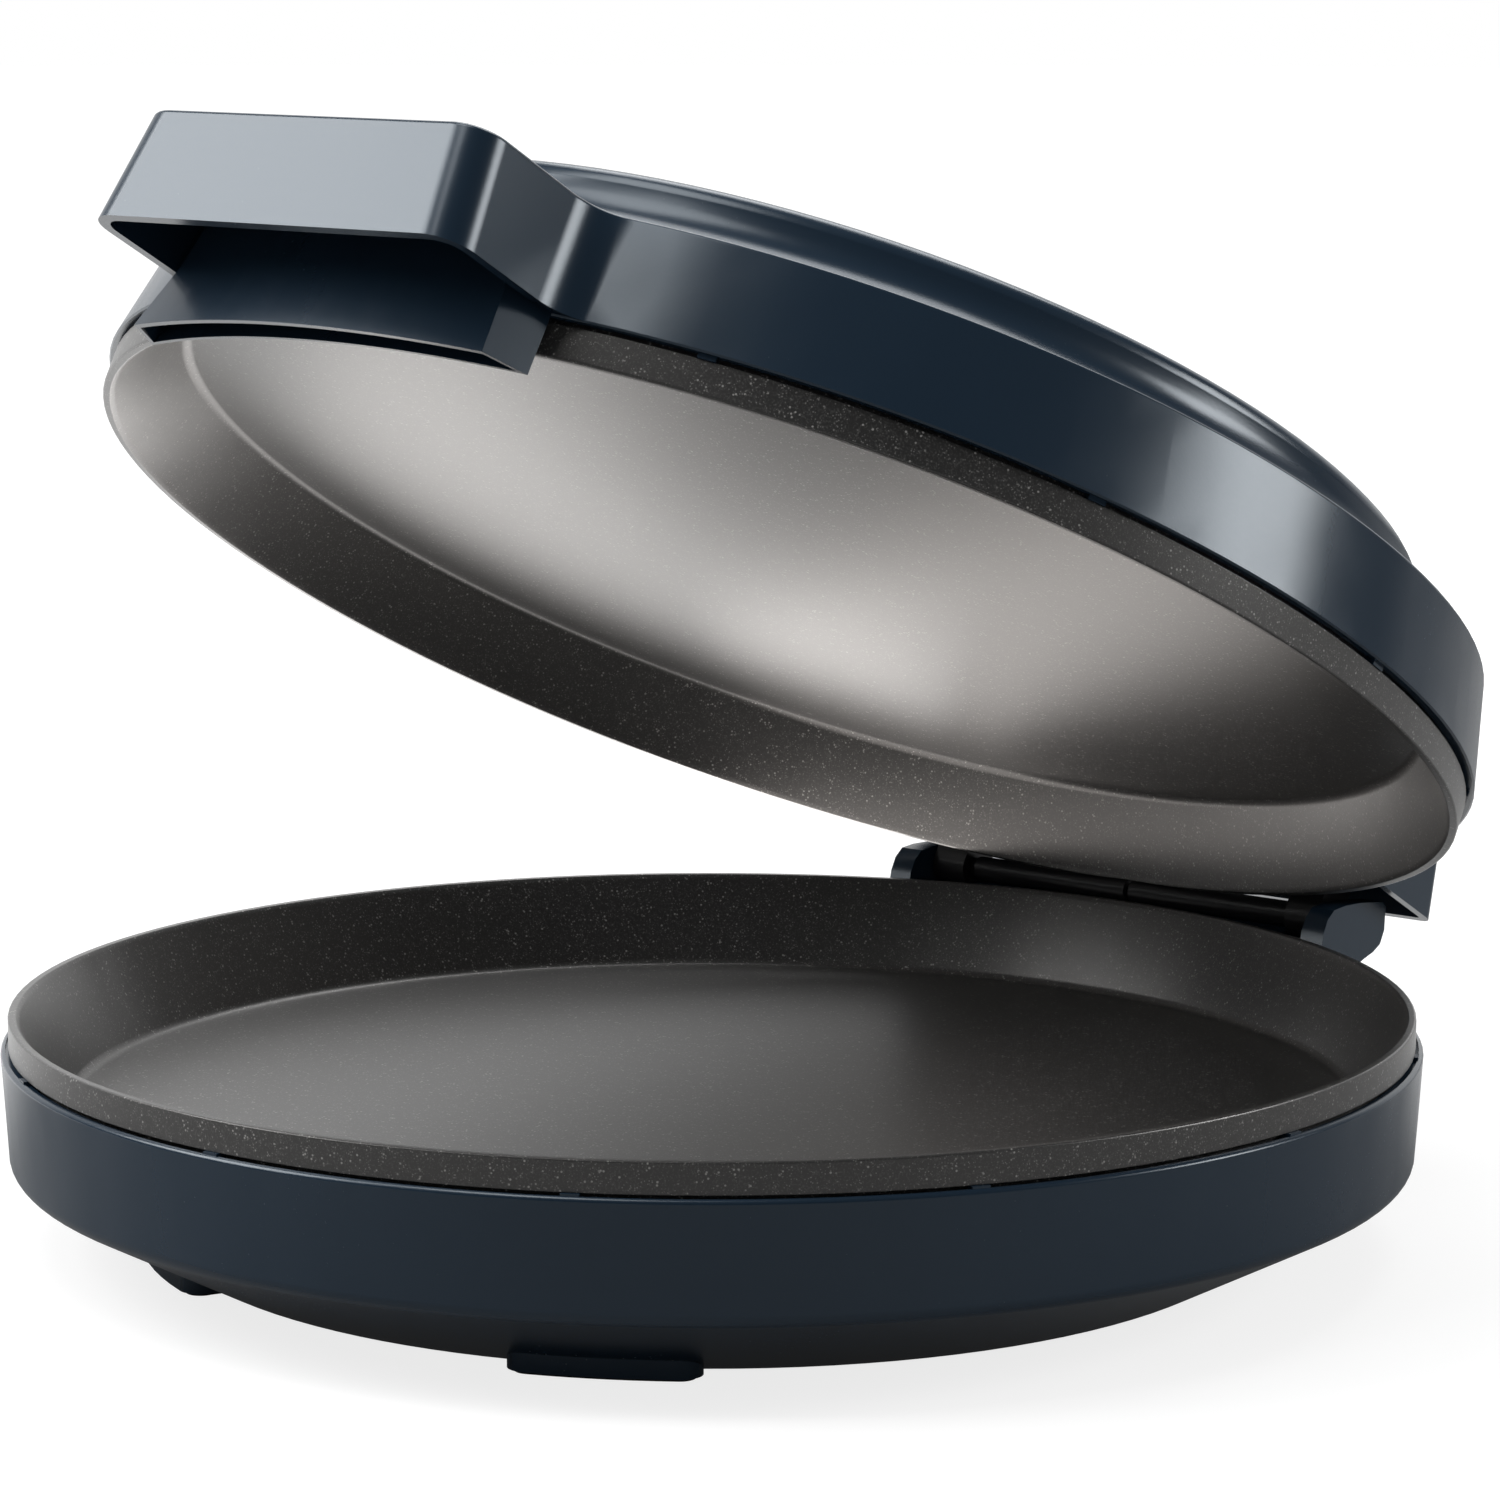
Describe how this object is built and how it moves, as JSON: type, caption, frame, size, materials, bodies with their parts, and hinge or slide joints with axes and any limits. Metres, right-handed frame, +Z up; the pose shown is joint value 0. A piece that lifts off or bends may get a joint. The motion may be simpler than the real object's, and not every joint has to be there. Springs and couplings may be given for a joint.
{
  "type": "electric pizza maker",
  "caption": "Round countertop pizza maker: a navy base and a hinged navy lid, each holding a shallow dark non-stick pan, with a hollow front handle and a finger guard.",
  "frame": {"origin": "centre of the part's footprint box on the table, with the lid standing open at 29.1 degrees", "axes": "+Z up, front with the handle towards -Y, hinge line along X at the rear (+Y)"},
  "size_m": [0.3338, 0.366, 0.2641],
  "materials": {
    "shell": "satin navy moulded plastic",
    "nonstick": "dark grey speckled non-stick coat on cast aluminium",
    "black_plastic": "black moulded plastic",
    "rubber": "matt black rubber",
    "steel": "plain steel",
    "sheath": "heat-darkened steel sheath",
    "bronze": "plain bearing bronze",
    "brass": "turned brass",
    "ceramic": "off-white block",
    "fuse": "pale sleeve",
    "wire": "heat-proof red sleeve",
    "wool": "pale mineral wool felt"
  },
  "bodies": {
    "base": {"base_shell": "shell", "bottom_cover": "black_plastic", "foot_pads": "rubber", "cover_screws": "steel", "lower_pan": "nonstick", "lower_heating_element": "sheath", "lower_element_clamps": "steel", "lower_pan_screws": "steel", "lower_heat_reflector": "steel", "lower_thermostat": "black_plastic", "thermal_fuse": "fuse", "terminal_block": "ceramic", "terminal_screws": "brass", "base_wiring": "wire", "cord_inlet": "rubber", "hinge_pins": "steel"},
    "lid": {"lid_shell": "shell", "finger_guard": "shell", "guard_screws": "steel", "upper_pan": "nonstick", "upper_heating_element": "sheath", "upper_element_clamps": "steel", "upper_pan_screws": "steel", "upper_heat_reflector": "steel", "upper_thermostat": "black_plastic", "lid_insulation": "wool", "lid_wiring": "wire", "hinge_arms": "black_plastic", "hinge_barrels": "black_plastic", "hinge_bushes": "bronze", "arm_screws": "steel"}
  },
  "joints": [
    {"name": "lid_hinge", "type": "hinge", "parent": "base", "child": "lid", "pos_m": [0, 0.14887, 0.057], "axis": [-1, 0, 0], "range_deg": [-29.6, 69.9]}
  ]
}
